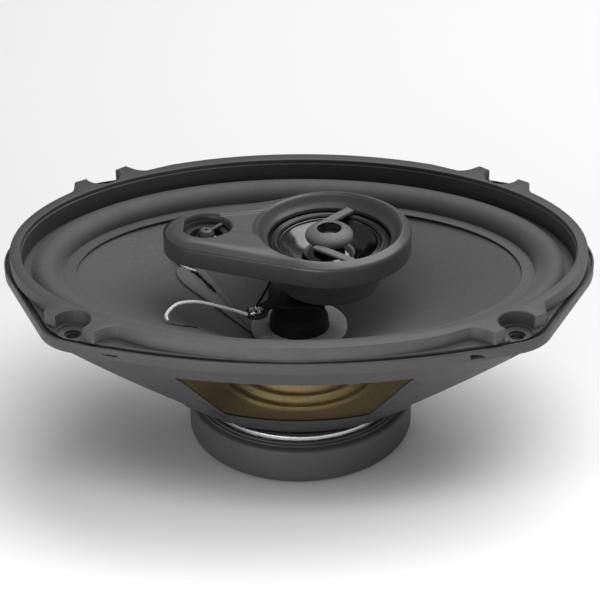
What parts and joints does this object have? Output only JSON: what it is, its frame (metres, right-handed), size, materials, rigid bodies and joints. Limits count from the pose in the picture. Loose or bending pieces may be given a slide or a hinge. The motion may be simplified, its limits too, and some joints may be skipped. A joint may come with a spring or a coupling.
{
  "type": "coaxial car speaker",
  "caption": "Oval coaxial car loudspeaker: pressed basket, coated paper cone with half-roll surround, booted magnet, and a teardrop pod on a centre post carrying the smaller drivers.",
  "frame": {"origin": "centre of the magnet boot's underside, on the woofer's axis", "axes": "+X along the flange's long axis with the pod's narrow end towards -X, +Z out of the cone's mouth"},
  "size_m": [0.237, 0.164, 0.0933],
  "materials": {
    "black_steel": "satin black paint on pressed steel",
    "gasket_plastic": "matt moulded dark grey",
    "moulded_rubber": "matt black moulding",
    "zinc_steel": "zinc plated",
    "ferrite": "ground dark grey ceramic",
    "coated_paper": "pressed pulp with a matt black coating",
    "surround_rubber": "matt black",
    "spider_cloth": "resin-treated woven cloth",
    "former_film": "amber film",
    "copper": "enamelled copper wire",
    "grey_felt": "speckled grey felt",
    "black_plastic": "satin black moulding",
    "wire_insulation": "black wire insulation",
    "fibre_board": "black pressed fibre board",
    "tinned_brass": "tinned",
    "metallised_film": "bright polished",
    "tinsel_braid": "pale woven braid"
  },
  "bodies": {
    "frame": {"basket": "black_steel", "gasket_ring": "gasket_plastic", "magnet_boot": "moulded_rubber", "yoke": "zinc_steel", "ferrite_magnet": "ferrite", "top_plate": "zinc_steel", "surround": "surround_rubber", "spider": "spider_cloth", "centre_post": "black_plastic", "centre_screw": "zinc_steel", "terminal_strip": "fibre_board", "eyelet_rivet_front": "tinned_brass", "eyelet_rivet_back": "tinned_brass", "pod_bracket": "black_plastic", "pod_housing": "black_plastic", "pod_base": "black_plastic", "midrange_can": "black_plastic", "midrange_magnet": "ferrite", "midrange_frame": "black_plastic", "midrange_surround": "surround_rubber", "tweeter_ball": "black_plastic", "super_tweeter": "metallised_film", "tweeter_capsule": "black_plastic", "tweeter_boss": "black_plastic", "crossover_capacitor": "black_plastic", "cone_lead_front": "tinsel_braid", "cone_lead_back": "tinsel_braid", "rear_lead_front": "tinsel_braid", "rear_lead_back": "tinsel_braid", "pod_wire_front": "wire_insulation", "pod_wire_back": "wire_insulation", "terminal_board": "fibre_board", "terminal_lug_wide": "tinned_brass", "terminal_lug_narrow": "tinned_brass"},
    "cone_assembly": {"cone": "coated_paper", "voice_coil_former": "former_film", "voice_coil_winding": "copper", "felt_dust_ring": "grey_felt"},
    "midrange_assembly": {"midrange_cone": "metallised_film", "midrange_dome": "metallised_film", "midrange_coil": "copper"},
    "tweeter_diaphragm": {"tweeter_dome": "metallised_film"}
  },
  "joints": [
    {"name": "woofer_travel", "type": "slide", "parent": "frame", "child": "cone_assembly", "axis": [0, 0, 1], "range_m": [-0.004, 0.004], "stiffness_N_per_m": 2500, "deforming": ["surround", "spider", "cone_lead_front", "cone_lead_back", "rear_lead_front", "rear_lead_back"]},
    {"name": "midrange_travel", "type": "slide", "parent": "frame", "child": "midrange_assembly", "axis": [0, 0, 1], "range_m": [-0.0004, 0.0004], "stiffness_N_per_m": 300, "deforming": ["midrange_surround"]},
    {"name": "tweeter_travel", "type": "slide", "parent": "frame", "child": "tweeter_diaphragm", "axis": [0, 0, 1], "range_m": [-0.00015, 0.00015], "stiffness_N_per_m": 60}
  ]
}
